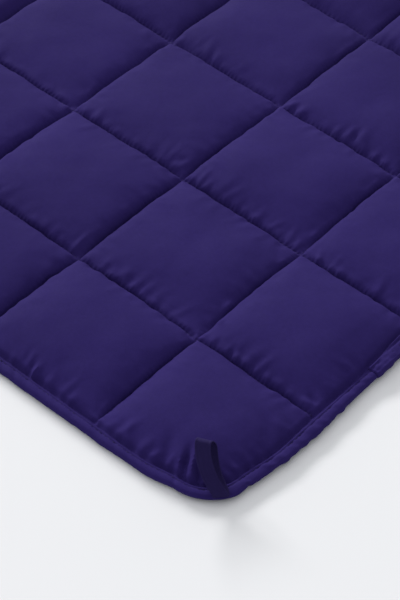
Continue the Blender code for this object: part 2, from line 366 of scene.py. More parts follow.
def seam_ripple(nodes, vector, first_x, first_y):
    """Fine ripples between the stitches, close to every sewn line."""
    x, y, _ = nodes.axes(vector)
    height = None
    for across, along, first in ((x, y, first_x), (y, x, first_y)):
        squares = nodes.math("DIVIDE", nodes.math("SUBTRACT", across, first), SQUARE)
        place = nodes.math("SUBTRACT", squares, nodes.math("ROUND", squares))
        gap = nodes.math("MULTIPLY", nodes.math("ABSOLUTE", place), SQUARE / SEAM_RIPPLE_REACH)
        fading = nodes.math("SUBTRACT", 1.0, nodes.math("MINIMUM", gap, 1.0))
        near = nodes.math("POWER", fading, SEAM_RIPPLE_FADE)
        drift = nodes.math("MULTIPLY", nodes.noise(vector, SEAM_DRIFT_SCALE), SEAM_DRIFT)
        turn = nodes.math("ADD", nodes.math("MULTIPLY", along, 2 * math.pi / STITCH_PITCH), drift)
        force = nodes.math("MULTIPLY", nodes.noise(vector, SEAM_FORCE_SCALE), SEAM_FORCE)
        wave = nodes.math("MULTIPLY", nodes.math("SINE", turn), force)
        part = nodes.math("MULTIPLY", near, wave)
        height = part if height is None else nodes.math("ADD", height, part)
    return height


def two_tones(deep, pale, stops):
    return (stops[0], deep), (stops[1], pale)


def cloth_material(name, deep, pale, seams=False):
    """Brushed microfibre: a fine weave, soft mottling, a worn tone and a short nap that shows as sheen."""
    nodes = Nodes(name)
    place = nodes.place()
    tone = nodes.math(
        "ADD",
        nodes.math("MULTIPLY", nodes.noise(place, WORN_SCALE, CLOTH_DETAIL), WORN_SHARE),
        nodes.math("MULTIPLY", nodes.noise(place, NAP_SCALE, CLOTH_DETAIL, NAP_ROUGHNESS), NAP_SHARE),
    )
    colours = nodes.ramp(tone, two_tones(deep, pale, TONE_STOPS))
    nodes.link(colours, nodes.shader, "Base Color")
    rough = nodes.math("MULTIPLY", nodes.noise(place, ROUGH_SCALE, CLOTH_DETAIL), ROUGH_SPREAD)
    nodes.link(nodes.math("ADD", rough, ROUGH_LEAST), nodes.shader, "Roughness")
    warp = nodes.noise(nodes.stretched(place, (WEAVE_FINE, WEAVE_LONG, WEAVE_LONG)), 1.0, 1.0)
    weft = nodes.noise(nodes.stretched(place, (WEAVE_LONG, WEAVE_FINE, WEAVE_LONG)), 1.0, 1.0)
    normal = nodes.bump(nodes.noise(place, SOFT_SCALE, CLOTH_DETAIL, SOFT_ROUGHNESS), SOFT_RISE)
    if seams:
        ripple = seam_ripple(nodes, place, EDGE_REACH - HALF_X, EDGE_REACH - HALF_Y)
        normal = nodes.bump(ripple, SEAM_RIPPLE_RISE, below=normal)
    normal = nodes.bump(nodes.math("ADD", warp, weft), WEAVE_RISE, below=normal)
    nodes.link(normal, nodes.shader, "Normal")
    nodes.shader.inputs["Sheen Weight"].default_value = SHEEN_WEIGHT
    nodes.shader.inputs["Sheen Roughness"].default_value = SHEEN_ROUGHNESS
    nodes.shader.inputs["Sheen Tint"].default_value = SHEEN_TINT
    nodes.shader.inputs["Specular IOR Level"].default_value = CLOTH_SPECULAR
    return nodes.material


def thread_material(name):
    nodes = Nodes(name)
    place = nodes.place()
    ply = nodes.noise(nodes.stretched(place, (PLY_SCALE, PLY_SCALE, PLY_SCALE)), 1.0, 2.0)
    colours = nodes.ramp(ply, two_tones(THREAD_DEEP, THREAD_PALE, PALE_STOPS))
    nodes.link(colours, nodes.shader, "Base Color")
    nodes.link(nodes.bump(ply, PLY_RISE), nodes.shader, "Normal")
    nodes.shader.inputs["Roughness"].default_value = THREAD_ROUGHNESS
    nodes.shader.inputs["Specular IOR Level"].default_value = THREAD_SPECULAR
    return nodes.material


def floor_material():
    nodes = Nodes("pale_floor")
    place = nodes.place()
    shade = nodes.noise(place, FLOOR_CLOUDS, 2.0)
    low = tuple(channel * FLOOR_DARKER for channel in FLOOR_COLOUR[:3]) + (1.0,)
    colours = nodes.ramp(shade, two_tones(low, FLOOR_COLOUR, PALE_STOPS))
    nodes.link(colours, nodes.shader, "Base Color")
    nodes.shader.inputs["Roughness"].default_value = FLOOR_ROUGHNESS
    nodes.shader.inputs["Specular IOR Level"].default_value = FLOOR_SPECULAR
    return nodes.material


# ---------------------------------------------------------------- quilted body


def seam_lines(half, squares):
    """The lines that bound the pockets along one axis: the sewn lines, and the edge's two seams."""
    inner = [EDGE_REACH - half + SQUARE * step for step in range(1, squares)]
    return [TONGUE_END - half] + inner + [half - TONGUE_END]


def pocket_steps(pockets):
    return list(NEAR_STEPS) + [FAR_STEPS] * (pockets - len(NEAR_STEPS) - 1) + [END_STEPS]


def crowded(shares):
    """Shares across a pocket, drawn towards its two seams."""
    return shares - SEAM_CROWDING * np.sin(2 * math.pi * shares) / (2 * math.pi)


def grid_marks(half, squares):
    """Grid lines along one axis, and which of them the underside uses."""
    lines = seam_lines(half, squares)
    marks = [TONGUE_INSET - half, (TONGUE_INSET + TONGUE_END) / 2 - half]
    under = [0]
    for low, high, steps in zip(lines, lines[1:], pocket_steps(squares)):
        shares = crowded(np.arange(steps) / steps)
        for share in UNDER_SHARES:
            number = len(marks) + int(np.argmin(np.abs(shares - share)))
            if number > under[-1]:
                under.append(number)
        marks += list(low + (high - low) * shares)
    under.append(len(marks))
    marks.append(lines[-1])
    marks += [half - (TONGUE_INSET + TONGUE_END) / 2, half - TONGUE_INSET]
    under.append(len(marks) - 1)
    return np.array(marks), under


def side_inset(gap):
    """How far a side is drawn in, at this distance from the nearer corner."""
    return CORNER_PULL * (1 - eased((gap - PULL_FROM) / (PULL_TO - PULL_FROM)))


def placed(x, y):
    """Moves points of a plain rectangle to the blanket's outline, with its drawn-in, rounded corners."""
    gap_x, gap_y = HALF_X - np.abs(x), HALF_Y - np.abs(y)
    pull_x = side_inset(gap_y) * (1 - eased(gap_x / PULL_DEPTH))
    pull_y = side_inset(gap_x) * (1 - eased(gap_y / PULL_DEPTH))
    across, along = np.abs(x) - pull_x, np.abs(y) - pull_y
    middle_x = HALF_X - CORNER_PULL - CORNER_RADIUS
    middle_y = HALF_Y - CORNER_PULL - CORNER_RADIUS
    right, up = np.maximum(across - middle_x, 0), np.maximum(along - middle_y, 0)
    reach = np.hypot(right, up)
    share = np.where(reach > 0, np.maximum(right, up) / np.where(reach > 0, reach, 1), 1)
    across = np.minimum(across, middle_x) + right * share
    along = np.minimum(along, middle_y) + up * share
    return np.sign(x) * across, np.sign(y) * along


def pocket_shares(places, lines):
    """The pocket that each coordinate falls in, and how far across it lies, from 0 to 1."""
    bounds = np.array(lines)
    number = np.clip(np.searchsorted(bounds, places, side="right") - 1, 0, len(lines) - 2)
    share = (places - bounds[number]) / (bounds[number + 1] - bounds[number])
    return number, np.clip(share, 0, 1)


def crown_share(share, climb, number, last):
    """The pillow's rise from seam to seam, from 0 to 1 and back, in the pocket with this number."""
    near = np.where(number == 0, CROWN_CLIMB_EDGE, climb[0])
    far = np.where(number == last, CROWN_CLIMB_EDGE, climb[1])
    return (1 - np.abs(1 - 2 * share) ** CROWN_FLAT) ** np.where(share < 0.5, near, far)


def pillow_rise(column, across, row, along):
    rise_x = crown_share(across, CROWN_CLIMB_X, column, SQUARES_X - 1)
    return rise_x * crown_share(along, CROWN_CLIMB_Y, row, SQUARES_Y - 1)


def strayed(x, y):
    """Moves points a little aside, so that no sewn line is quite straight."""
    inside = eased((np.minimum(HALF_X - np.abs(x), HALF_Y - np.abs(y)) - TONGUE_END) / TONGUE_END)
    aside, ahead = (
        SEAM_WANDER * uneven_field(x, y, SEAM_WANDER_CELL, seed) * inside for seed in SEAM_WANDER_SEEDS
    )
    return x + aside, y + ahead


def add_ridge(height, x, y, start, end, width, rise, peak=PUCKER_PEAK):
    """Raises a soft ridge, or sinks a valley, from start to end in plan."""
    start, end = np.array(start), np.array(end)
    reach = max(np.linalg.norm(end - start), 1e-6)
    ahead = (end - start) / reach
    low = np.minimum(start, end) - RIDGE_REACH * width
    high = np.maximum(start, end) + RIDGE_REACH * width
    columns = slice(*np.searchsorted(x[:, 0], (low[0], high[0])))
    rows = slice(*np.searchsorted(y[0, :], (low[1], high[1])))
    if columns.start >= columns.stop or rows.start >= rows.stop:
        return
    right, up = x[columns, rows] - start[0], y[columns, rows] - start[1]
    share = np.clip((right * ahead[0] + up * ahead[1]) / reach, 0, 1)
    beside = (up * ahead[0] - right * ahead[1]) / width
    ridge = np.exp(-(beside**2) / 2) - RIDGE_DIP * np.exp(-(beside**2) / 8)
    height[columns, rows] += rise * ridge * np.sin(math.pi * share**peak) ** RIDGE_TAPER


def add_puckers(height, x, y, lines_x, lines_y):
    """Short ridges that run out from every sewn line, on both sides, where the grid is fine enough."""
    draw = np.random.default_rng(PUCKER_SEED)
    for axis, lines, cross_lines in ((0, lines_x, lines_y), (1, lines_y, lines_x)):
        for number, line in enumerate(lines[:-1]):
            for low, high in zip(cross_lines, cross_lines[1:]):
                for side in (-1, 1):
                    fans = draw.uniform(size=(PUCKER_FANS, 2))
                    values = draw.uniform(size=(PUCKER_FANS, PUCKERS_A_FAN, 4))
                    if (number == 0 and side < 0) or not near_corner(line, low, axis):
                        continue
                    strength = EDGE_PUCKERS if number == 0 else PUCKER_STRENGTH[axis][side > 0]
                    for (spot, force), fan in zip(fans, values):
                        middle = low + (high - low) * (PUCKER_FIRST + PUCKER_SPAN * spot)
                        for place, (shift, long, wide, tall) in enumerate(fan):
                            beside = place - (PUCKERS_A_FAN - 1) / 2 + PUCKER_SCATTER * (shift - 0.5)
                            along = middle + beside * PUCKER_SPACING
                            if not low < along < high:
                                continue
                            length = between(PUCKER_LENGTH, long**2)
                            lean = beside * PUCKER_TILT * length
                            start, end = (line, along), (line + side * length, along + lean)
                            if axis:
                                start, end = start[::-1], end[::-1]
                            rise = strength * between(PUCKER_RISE, force * tall)
                            add_ridge(height, x, y, start, end, between(PUCKER_WIDTH, wide), rise)


def add_folds(height, x, y):
    """The single folds of the front left corner."""
    for start_x, start_y, end_x, end_y, width, rise in FOLDS:
        start, end = (start_x - HALF_X, start_y - HALF_Y), (end_x - HALF_X, end_y - HALF_Y)
        add_ridge(height, x, y, start, end, width, rise, 1.0)


def side_drop(x, y):
    """How far the edge sinks along the left side, fading into the blanket and towards both corners."""
    beside = 1 - eased((x + HALF_X - TONGUE_END) / EDGE_LIFT_REACH)
    return LEFT_DROP * beside * eased((HALF_Y - np.abs(y)) / LEFT_DROP_FROM)


def seam_gap(places, lines):
    """Distance to the nearest sewn line, leaving out the two seams of the edge."""
    inner = np.array(lines[1:-1])
    return np.min(np.abs(places[..., None] - inner), axis=-1)


def groove_depth(x, y, lines_x, lines_y):
    gap = np.minimum(seam_gap(x, lines_x), seam_gap(y, lines_y))
    inside = eased((np.minimum(HALF_X - np.abs(x), HALF_Y - np.abs(y)) - TONGUE_END) / SEAM_GROOVE)
    return SEAM_SINK * np.clip(1 - gap / SEAM_GROOVE, 0, 1) * inside


def seam_bumps(x, y, column, row, gap_x, gap_y):
    """The filling's small uneven bulges beside the sewn lines, each pocket's its own."""
    gap = np.minimum(gap_x, gap_y) / BUMP_REACH
    near = gap * np.exp(1 - gap)
    across, along = x + BUMP_SHIFT[0] * column, y + BUMP_SHIFT[1] * row
    bumps = sum(tall * uneven_field(across, along, cell, seed) for cell, tall, seed in BUMP_LAYERS)
    return near * bumps


def near_corner(line, cross, axis):
    """True in the pockets nearest to the front left corner, where the grid is fine."""
    x, y = (cross, line) if axis else (line, cross)
    reach = SQUARE * FINE_POCKETS
    return x < reach - HALF_X and y < reach - HALF_Y


def body_height(x, y, lines_x, lines_y):
    """Height of the upper face over the plain rectangle."""
    column, across = pocket_shares(x, lines_x)
    row, along = pocket_shares(y, lines_y)
    rise = pillow_rise(column, across, row, along)
    by_column, by_row, by_both = CROWN_TURNS
    turn = by_column * column + by_row * row + by_both * column * row
    outer = (column == 0) | (column == SQUARES_X - 1) | (row == 0) | (row == SQUARES_Y - 1)
    top = np.where(outer, CROWN_EDGE, CROWN) * (1 + CROWN_SPREAD * np.sin(turn)) * rise
    for cell, tall, seed in UNEVEN_LAYERS:
        top += tall * uneven_field(x, y, cell, seed) * np.minimum(rise * UNEVEN_FADE, 1)
    gap_x, gap_y = (np.minimum(share, 1 - share) * SQUARE for share in (across, along))
    top += seam_bumps(x, y, column, row, gap_x, gap_y)
    add_puckers(top, x, y, lines_x, lines_y)
    add_folds(top, x, y)
    gap = np.minimum(HALF_X - np.abs(x), HALF_Y - np.abs(y))
    base = SEAM_TOP + (TONGUE_TOP - SEAM_TOP) * (1 - eased((gap - TONGUE_END) / EDGE_LIFT_REACH))
    sunk = groove_depth(x, y, lines_x, lines_y)
    sunk += EDGE_SINK * np.clip(1 - np.abs(gap - EDGE_SINK_AT) / EDGE_SINK_REACH, 0, 1)
    height = np.where(gap < TONGUE_END + 1e-6, TONGUE_TOP, base + np.maximum(top, 0) - sunk)
    hidden = gap < TONGUE_END - 1e-6
    pressed = between(LAP_PRESS, eased((x + HALF_X - LAP_START) / LAP_WIDENS))
    lap = lap_share(x + HALF_X) * (1 - eased((y + HALF_Y - pressed) / LAP_PRESS_FADE))
    height = height * (1 - lap) + TONGUE_TOP * lap
    return np.where(hidden, TONGUE_HIDDEN_TOP, height) - side_drop(x, y)


def quad_faces(columns, rows, start=0, flip=False):
    number = start + np.arange(columns * rows).reshape(columns, rows)
    corners = [number[:-1, :-1], number[1:, :-1], number[1:, 1:], number[:-1, 1:]]
    if flip:
        corners.reverse()
    return np.stack([part.ravel() for part in corners], axis=1).tolist()


def rim_numbers(columns, rows):
    """Grid numbers round the rim, counterclockwise from the first corner."""
    front = [(column, rows[0]) for column in columns[:-1]]
    right = [(columns[-1], row) for row in rows[:-1]]
    back = [(column, rows[-1]) for column in reversed(columns[1:])]
    left = [(columns[0], row) for row in reversed(rows[1:])]
    return front + right + back + left


def add_quilted_body(material):
    lines_x = seam_lines(HALF_X, SQUARES_X)
    lines_y = seam_lines(HALF_Y, SQUARES_Y)
    marks_x, under_x = grid_marks(HALF_X, SQUARES_X)
    marks_y, under_y = grid_marks(HALF_Y, SQUARES_Y)
    x, y = np.meshgrid(marks_x, marks_y, indexing="ij")
    top = body_height(x, y, lines_x, lines_y)
    place_x, place_y = placed(*strayed(x, y))
    upper = np.stack([place_x, place_y, top], axis=-1)
    columns, rows = upper.shape[:2]

    pick = np.ix_(under_x, under_y)
    column, across = pocket_shares(x[pick], lines_x)
    row, along = pocket_shares(y[pick], lines_y)
    sewn = pillow_rise(column, across, row, along) < 1e-6
    edge = np.minimum(HALF_X - np.abs(x[pick]), HALF_Y - np.abs(y[pick])) < TONGUE_END + 1e-6
    low = np.where(edge, TONGUE_UNDER - side_drop(x[pick], y[pick]), np.where(sewn, SEAM_UNDER, 0.0))
    lower = np.stack([place_x[pick], place_y[pick], low], axis=-1)
    faces = quad_faces(columns, rows)
    faces += quad_faces(len(under_x), len(under_y), columns * rows, flip=True)

    ring = rim_numbers(range(columns), range(rows))
    count = len(ring)
    turn = {spot: step for step, spot in enumerate(ring)}
    under_ring = rim_numbers(range(len(under_x)), range(len(under_y)))
    for step, (column, row) in enumerate(under_ring):
        after_column, after_row = under_ring[(step + 1) % len(under_ring)]
        start = turn[(under_x[column], under_y[row])]
        stop = turn[(under_x[after_column], under_y[after_row])]
        stop += count if stop < start else 0
        stretch = [ring[number % count] for number in range(start, stop + 1)]
        face = [spot[0] * rows + spot[1] for spot in reversed(stretch)]
        below = columns * rows
        face += [below + column * len(under_y) + row, below + after_column * len(under_y) + after_row]
        faces.append(face)
    points = np.concatenate([upper.reshape(-1, 3), lower.reshape(-1, 3)])
    body = new_object("quilted_microfibre", points, faces, material)
    body.data.set_sharp_from_angle(angle=SHARP_FOLD)
    return body


# ---------------------------------------------------------------- stitches


def stitch_template():
    """One stitch along X: two rings and two sunken ends."""
    points = [(-STITCH_LENGTH / 2, 0, -THREAD)]
    for along in (-STITCH_SHOULDER, STITCH_SHOULDER):
        for side in range(STITCH_SIDES):
            angle = 2 * math.pi * side / STITCH_SIDES + math.pi / 2
            points.append((along * STITCH_LENGTH, THREAD * math.cos(angle), THREAD * math.sin(angle)))
    points.append((STITCH_LENGTH / 2, 0, -THREAD))
    faces = []
    last = 2 * STITCH_SIDES + 1
    for side in range(STITCH_SIDES):
        after = (side + 1) % STITCH_SIDES
        near, near_after = 1 + side, 1 + after
        far, far_after = near + STITCH_SIDES, near_after + STITCH_SIDES
        faces += [(0, near_after, near), (near, near_after, far_after), (near, far_after, far)]
        faces.append((far, far_after, last))
    return np.array(points), np.array(faces)


def add_stitches(name, places, directions, material):
    """Joins one small stitch at every place, each turned to its direction in plan."""
    points, faces = stitch_template()
    places, directions = np.array(places), np.array(directions)
    sideways = np.stack([-directions[:, 1], directions[:, 0]], axis=1)
    spots = np.empty((len(places), len(points), 3))
    ahead, aside = points[None, :, :1], points[None, :, 1:2]
    spots[:, :, :2] = ahead * directions[:, None, :] + aside * sideways[:, None, :]
    spots[:, :, 2] = points[None, :, 2]
    spots += places[:, None, :]
    count = len(points)
    numbers = faces[None] + count * np.arange(len(places))[:, None, None]
    return new_object(name, spots.reshape(-1, 3), numbers.reshape(-1, 3).tolist(), material)


def quilting_stitches(material):
    places, directions = [], []
    for axis, half, reach, squares in ((0, HALF_X, HALF_Y, SQUARES_X), (1, HALF_Y, HALF_X, SQUARES_Y)):
        for line in seam_lines(half, squares)[1:-1]:
            marks = np.arange(-reach + TONGUE_END + STITCH_PITCH, reach - TONGUE_END, STITCH_PITCH)
            across = np.full(len(marks), line)
            x, y = strayed(*((across, marks) if axis == 0 else (marks, across)))
            gap = np.minimum(HALF_X - np.abs(x), HALF_Y - np.abs(y))
            lift = (TONGUE_TOP - SEAM_TOP) * (1 - eased((gap - TONGUE_END) / EDGE_LIFT_REACH))
            level = SEAM_TOP - SEAM_SINK + lift - side_drop(x, y) + THREAD * QUILTING_LIFT
            places.append(np.stack([*placed(x, y), level], axis=1))
            directions.append(np.tile([float(axis), float(1 - axis)], (len(marks), 1)))
    places, directions = np.concatenate(places), np.concatenate(directions)
    return add_stitches("quilting_stitches", places, directions, material)


# ---------------------------------------------------------------- binding

# The strip's outer face in section, from its upper inner fold round the edge to its lower inner fold.
# Columns: inward from the outer edge, height, share of the edge's swell, share of the lap upwards.
BINDING_FACE = (
    (0.0073, 0.0050, 0.0, 0.6),
    (0.0074, 0.0054, 0.0, 1.0),
    (0.0070, 0.0056, 0.0, 1.0),
    (0.0065, 0.0055, 0.1, 1.0),
    (0.0061, 0.0052, 0.1, 1.0),
    (0.0057, 0.0054, 0.1, 1.0),
    (0.0052, 0.0058, 0.2, 1.0),
    (0.0043, 0.0060, 0.3, 1.0),
    (0.0033, 0.0060, 0.5, 1.0),
    (0.0023, 0.0059, 0.7, 1.0),
    (0.0014, 0.0056, 0.8, 1.0),
    (0.0007, 0.0051, 1.0, 0.8),
    (0.0002, 0.0044, 1.0, 0.4),
    (0.0002, 0.0036, 1.0, 0.0),
    (0.0007, 0.0029, 1.0, 0.0),
    (0.0016, 0.0025, 0.8, 0.0),
    (0.0034, 0.0023, 0.5, 0.0),
    (0.0073, 0.0023, 0.0, 0.0),
)
# The inner face, back from the lower inner fold. Columns: inward, height.
BINDING_INSIDE = (
    (0.0073, 0.0033),
    (0.0030, 0.0033),
    (0.0019, 0.0034),
    (0.0019, 0.0043),
    (0.0030, 0.0045),
    (0.0070, 0.0046),
)
GROOVE_INWARD = 0.0059
GROOVE_TOP = 0.0052
UPPER_FROM = 0.0020  # further in than this the upper face stays above the inner one
FACE_LEAST = 0.0049
RIPPLE_RISE = 0.00028
RIPPLE_LEAST = 0.6  # share of the ripples on the calmest stretch of the edge
RIPPLE_SLANT = 0.9  # how far they run aslant
RIPPLE_LAYERS = ((0.0034, 1.0, 3), (0.0085, 0.8, 4))  # wavelength, share and random seed
SHOWN_FROM = 0.0030  # the strip's face has ripples and folds from this height up
SHOWN_OVER = 0.0025
HELD_AT = 0.0080  # they are held down towards this distance from the edge, where the strip is sewn
HELD_OVER = 0.0020
HELD_LEAST = 0.3
# How far two edges stray outwards as they leave the front left corner.
# Columns: distance from the corner, outwards.
FRONT_STRAY = (
    (0.034, 0.0000),
    (0.037, 0.0007),
    (0.041, 0.0002),
    (0.048, -0.0002),
    (0.055, 0.0001),
    (0.060, -0.0004),
    (0.067, 0.0005),
    (0.074, 0.0009),
    (0.088, 0.0017),
    (0.096, 0.0008),
    (0.103, 0.0016),
    (0.112, 0.0003),
    (0.120, 0.0004),
    (0.129, -0.0004),
    (0.144, -0.0002),
    (0.153, 0.0003),
    (0.165, -0.0007),
    (0.230, 0.0000),
)
# The same round the corner itself, by share of its turn from the left side to the front.
CORNER_STRAY = (
    (0.00, -0.0013),
    (0.30, -0.0002),
    (0.50, 0.0002),
    (0.65, 0.0012),
    (0.80, 0.0009),
    (1.00, 0.0000),
)
LEFT_STRAY = (
    (0.034, -0.0013),
    (0.042, -0.0005),
    (0.056, -0.0005),
    (0.067, -0.0014),
    (0.078, -0.0012),
    (0.092, -0.0005),
    (0.150, -0.0004),
    (0.230, 0.0000),
)
EDGE_WANDER = 0.00055
WANDER_LAYERS = ((0.0044, 5), (0.010, 6))  # wavelength and random seed
RESTLESS_SIDES = (1.0, 0.7, 0.7, 0.35)  # how restless the edge is: front, right, back and left
RESTLESS_CORNER = 0.4
UNDER_SAG = 1.8  # where the edge lies low, the strip's underside sinks by this much more
UNDER_FROM = 0.0040
BINDING_NEAR_STEP = 0.0017
BINDING_FAR_STEP = 0.0090
BINDING_PULL_STEP = 0.0045  # where the sides are drawn in beside a corner
BINDING_NEAR = 0.60
CORNER_STEPS_NEAR = 30
CORNER_STEPS_FAR = 14
LAP_START = 1.52 * SQUARE
LAP_MARKS = (-0.0013, -0.0008, -0.0003, 0.0, 0.0004, 0.0010, 0.0018)
LAP_FULL = 0.038
LAP_FADE = 0.018
LAP_OUT = 0.0006
LAP_UP = 0.0010
LAP_IN = (0.0008, 0.0030)  # how much wider the lapped strip is at its end, and further along
LAP_WIDENS = 0.034
LAP_FOLD = 0.00050
LAP_FOLD_PITCH = 0.0032
LAP_CREVICE = 0.0016
CREVICE_BEFORE = 0.0003  # it lies this far before the lap
CREVICE_REACH = 0.0005
LAP_CLEAR = 0.0022  # the lap's own stations replace the others this close to its start


def edge_swell(mark):
    """The edge swells between seams by an uneven share of EDGE_WAVE, and is drawn in at each seam."""
    place = (mark - EDGE_REACH) / SQUARE
    share = (1 + math.sin(EDGE_WAVE_TURN * math.floor(place))) / 2
    uneven = EDGE_WAVE_LEAST + (1 - EDGE_WAVE_LEAST) * share
    return EDGE_WAVE * uneven * math.sin(math.pi * (place % 1)) ** 2


def stray(mark, rows):
    places, shifts = zip(*rows)
    return float(np.interp(mark, places, shifts))


def lap_share(mark):
    """1 where the binding's end lies over its start, fading where the start runs out beneath."""
    past = mark - LAP_START
    return np.where(past >= 0, 1 - eased((past - LAP_FULL) / LAP_FADE), 0.0)


def side_marks(half, near_start, near_end, lap):
    """Places along a side, closer together where it is near the front left corner."""
    length = 2 * half
    first, last = CORNER_PULL + CORNER_RADIUS, length - CORNER_PULL - CORNER_RADIUS
    marks, mark = [], first
    while mark < last:
        marks.append(mark)
        near = (near_start and mark < BINDING_NEAR) or (near_end and mark > length - BINDING_NEAR)
        drawn_in = min(mark, length - mark) < PULL_TO + BINDING_FAR_STEP
        mark += BINDING_NEAR_STEP if near else BINDING_PULL_STEP if drawn_in else BINDING_FAR_STEP
    marks = marks[1:]
    if lap:
        clear = [mark for mark in marks if abs(mark - LAP_START) > LAP_CLEAR]
        marks = sorted(clear + [LAP_START + shift for shift in LAP_MARKS])
    return marks


def binding_stations():
    """Stations round the outer edge, counterclockwise from the front left corner.

    Each has its place, its outward direction, the edge's swell, the lap's share, and how restless the edge
    is there.
    """
    sides = (
        (HALF_X, HALF_Y, Vector((1, 0)), True, False),
        (HALF_Y, HALF_X, Vector((0, 1)), False, False),
        (HALF_X, HALF_Y, Vector((-1, 0)), False, False),
        (HALF_Y, HALF_X, Vector((0, -1)), False, True),
    )
    stations = []
    for number, (half, reach, along, near_start, near_end) in enumerate(sides):
        outward = Vector((along.y, -along.x))
        middle = -(half - CORNER_PULL - CORNER_RADIUS) * along
        middle += (reach - CORNER_PULL - CORNER_RADIUS) * outward
        steps = CORNER_STEPS_FAR if number else CORNER_STEPS_NEAR
        for step in range(steps + 1):
            angle = math.pi / 2 * step / steps
            normal = math.sin(angle) * outward - math.cos(angle) * along
            swell = 0.0 if number else stray(step / steps, CORNER_STRAY)
            stations.append((middle + CORNER_RADIUS * normal, normal, swell, 0.0, RESTLESS_CORNER))
        for mark in side_marks(half, near_start, near_end, number == 0):
            inset = float(side_inset(min(mark, 2 * half - mark)))
            place = (mark - half) * along + (reach - inset) * outward
            lap = float(lap_share(mark)) if number == 0 else 0.0
            swell = edge_swell(mark)
            if number == 0:
                swell += stray(mark, FRONT_STRAY)
            if number == 3:
                swell += stray(2 * half - mark, LEFT_STRAY)
            stations.append((place, outward, swell, lap, RESTLESS_SIDES[number]))
    return stations


def binding_sections(stations):
    """The strip's closed section at every station, as an array of points."""
    face = np.array(BINDING_FACE)
    inside = np.array(BINDING_INSIDE)
    place = np.array([tuple(station[0]) for station in stations])
    normal = np.array([tuple(station[1]) for station in stations])
    swell, lap, restless = (np.array([station[part] for station in stations]) for part in (2, 3, 4))
    gaps = np.linalg.norm(place - np.roll(place, 1, axis=0), axis=1)
    gaps[0] = 0
    way = np.cumsum(gaps)
    lap_way = way[np.argmax(lap > 0)]

    inward, height, swell_share, lap_share_up = face.T
    slanted = way[:, None] + RIPPLE_SLANT * inward[None, :]
    ripple = sum(part * uneven_line(slanted, cell, seed) for cell, part, seed in RIPPLE_LAYERS)
    wander = sum(uneven_line(way, cell, seed) for cell, seed in WANDER_LAYERS)
    over = lap[:, None]
    out = swell[:, None] * swell_share + LAP_OUT * over * swell_share
    out += EDGE_WANDER * restless[:, None] * wander[:, None] * swell_share
    widened = between(LAP_IN, eased((way - lap_way) / LAP_WIDENS))[:, None]
    out -= widened * over * np.clip(1 - 2 * swell_share, 0, 1) * (lap_share_up > 0)
    shown = np.clip((height - SHOWN_FROM) / SHOWN_OVER, 0, 1)
    held = np.clip((HELD_AT - inward) / HELD_OVER, HELD_LEAST, 1)
    rippled = RIPPLE_RISE * (RIPPLE_LEAST + restless[:, None]) * ripple * shown * held
    top = height + LAP_UP * over * lap_share_up + rippled
    folds = LAP_FOLD * np.sin(2 * math.pi * (inward - out) / LAP_FOLD_PITCH)
    before = way[:, None] - lap_way
    crevice = LAP_CREVICE * np.clip(1 - np.abs(before + CREVICE_BEFORE) / CREVICE_REACH, 0, 1)
    top = top + over * folds * shown - crevice * lap_share_up
    top = np.where((inward > UPPER_FROM) & (height > FACE_LEAST), np.maximum(top, FACE_LEAST), top)
    drop = side_drop(place[:, 0], place[:, 1])[:, None]
    top -= drop * (1 + UNDER_SAG * (height < UNDER_FROM))
    outer = place[:, None, :] + (out - inward)[:, :, None] * normal[:, None, :]
    outer = np.concatenate([outer, top[:, :, None]], axis=2)

    inner = place[:, None, :] - inside[None, :, :1] * normal[:, None, :]
    level = inside[None, :, 1:] - drop[:, :, None]
    inner = np.concatenate([inner, level], axis=2)
    return np.concatenate([outer, inner], axis=1), way, place, normal, lap


def add_loft(name, sections, material):
    """A closed ring of equal sections, joined each to the next."""
    count, corners = sections.shape[:2]
    number = np.arange(count * corners).reshape(count, corners)
    after = np.roll(number, -1, axis=0)
    beside = np.roll(number, -1, axis=1)
    beyond = np.roll(after, -1, axis=1)
    faces = np.stack([number.ravel(), beside.ravel(), beyond.ravel(), after.ravel()], axis=1)
    return new_object(name, sections.reshape(-1, 3), faces.tolist(), material)


def binding_stitches(way, place, normal, lap, material):
    """A line of stitches in the groove beside the binding's inner fold."""
    marks = np.arange(STITCH_PITCH / 2, way[-1], STITCH_PITCH)
    line = place - GROOVE_INWARD * normal
    spots = np.stack([np.interp(marks, way, line[:, part]) for part in (0, 1)])
    facing = np.stack([np.interp(marks, way, normal[:, part]) for part in (0, 1)])
    facing /= np.linalg.norm(facing, axis=0)
    rise = np.interp(marks, way, lap) * LAP_UP - side_drop(spots[0], spots[1])
    points = np.stack([spots[0], spots[1], GROOVE_TOP + THREAD * TOPSTITCH_LIFT + rise], axis=1)
    return add_stitches("binding_stitches", points, np.stack([-facing[1], facing[0]], axis=1), material)


# ---------------------------------------------------------------- corner loops

# The closed band's middle line. Columns: inward from the foot, sideways, height.
LOOP_LINE = (
    (0.0002, 0.0004, 0.0064),
    (0.0012, -0.0008, 0.0082),
    (0.0036, -0.0034, 0.0108),
    (0.0076, -0.0068, 0.0148),
    (0.0122, -0.0096, 0.0202),
    (0.0164, -0.0112, 0.0254),
    (0.0198, -0.0115, 0.0292),
    (0.0222, -0.0110, 0.0295),
    (0.0246, -0.0096, 0.0272),
    (0.0254, -0.0078, 0.0226),
    (0.0230, -0.0070, 0.0164),
    (0.0162, -0.0052, 0.0106),
    (0.0092, -0.0022, 0.0078),
    (0.0046, -0.0002, 0.0070),
)
LOOP_FOOT = (0.0171, 0.0099)
LOOP_YAW = math.radians(-50)
LOOP_TWIST = (math.radians(8), math.radians(-14))  # the tape's turn at its foot and at its top
LOOP_TWIST_FROM = 0.0080
LOOP_TWIST_TO = 0.0290
TAPE_WIDTH = 0.0096
LOOP_STEPS = 7
